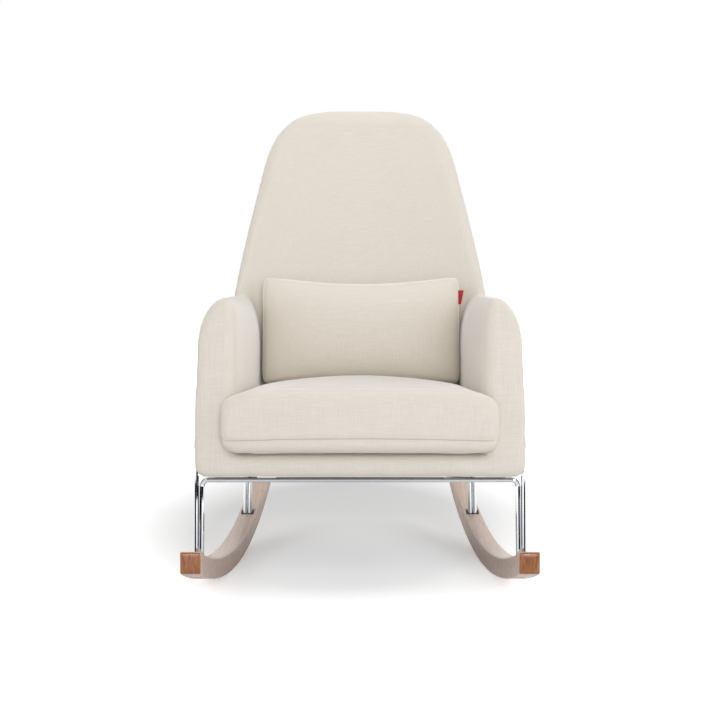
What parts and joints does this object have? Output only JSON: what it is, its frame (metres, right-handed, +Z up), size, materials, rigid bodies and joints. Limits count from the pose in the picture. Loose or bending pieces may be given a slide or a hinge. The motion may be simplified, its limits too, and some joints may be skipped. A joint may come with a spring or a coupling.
{
  "type": "upholstered rocking chair",
  "caption": "High-backed rocking chair with padded arms, a loose seat cushion and a lumbar pillow, on bent chrome rods and curved walnut rockers.",
  "frame": {"origin": "on the floor, midway along the rockers and in the chair's plane of symmetry", "axes": "the chair faces -Y, +X is to the right of someone who looks at its front, +Z is up"},
  "size_m": [0.7534, 0.955, 1.1101],
  "materials": {
    "linen": "woven linen-look upholstery cloth over foam",
    "walnut": "bent walnut, satin lacquer",
    "chrome": "polished chrome plate",
    "steel": "blackened zinc",
    "plywood": "sanded birch plywood, not seen",
    "webbing": "elastic upholstery webbing",
    "cambric": "black non-woven dust cloth",
    "tape": "plain woven tape"
  },
  "bodies": {
    "chair": {"back_pad": "linen", "arm_pad_left": "linen", "arm_pad_right": "linen", "front_rail_pad": "linen", "seat_deck": "linen", "rocker_left": "walnut", "rocker_right": "walnut", "front_loop_rod": "chrome", "rear_loop_rod": "chrome", "side_loop_rod_left": "chrome", "side_loop_rod_right": "chrome", "mount_tab_front_left": "chrome", "mount_tab_front_right": "chrome", "mount_tab_rear_left": "chrome", "mount_tab_rear_right": "chrome", "foot_block_front_left": "steel", "foot_block_front_right": "steel", "foot_block_rear_left": "steel", "foot_block_rear_right": "steel", "rocker_bolt_front_left": "steel", "rocker_bolt_front_right": "steel", "rocker_bolt_rear_left": "steel", "rocker_bolt_rear_right": "steel", "mount_bolt_front_left": "steel", "mount_bolt_front_right": "steel", "mount_bolt_rear_left": "steel", "mount_bolt_rear_right": "steel", "side_panel_left": "plywood", "side_panel_right": "plywood", "back_post_left": "plywood", "back_post_right": "plywood", "back_rail_lower": "plywood", "back_rail_middle": "plywood", "back_rail_upper": "plywood", "seat_rail_front": "plywood", "seat_rail_rear": "plywood", "corner_block_left": "plywood", "corner_block_right": "plywood", "seat_strap_1": "webbing", "seat_strap_2": "webbing", "seat_strap_3": "webbing", "seat_strap_4": "webbing", "seat_strap_5": "webbing", "back_strap_1": "webbing", "back_strap_2": "webbing", "back_strap_3": "webbing", "back_strap_4": "webbing", "dust_cover": "cambric"},
    "seat_cushion": {"seat_cushion": "linen"},
    "lumbar_pillow": {"lumbar_pillow": "linen", "pillow_tape_tab": "tape"}
  },
  "joints": [
    {"name": "seat_cushion_slide", "type": "slide", "parent": "chair", "child": "seat_cushion", "axis": [0, -0.9997, 0.0244], "range_m": [0, 0.58]},
    {"name": "lumbar_pillow_slide", "type": "slide", "parent": "chair", "child": "lumbar_pillow", "axis": [0, -0.866, 0.5], "range_m": [0, 0.7]}
  ]
}
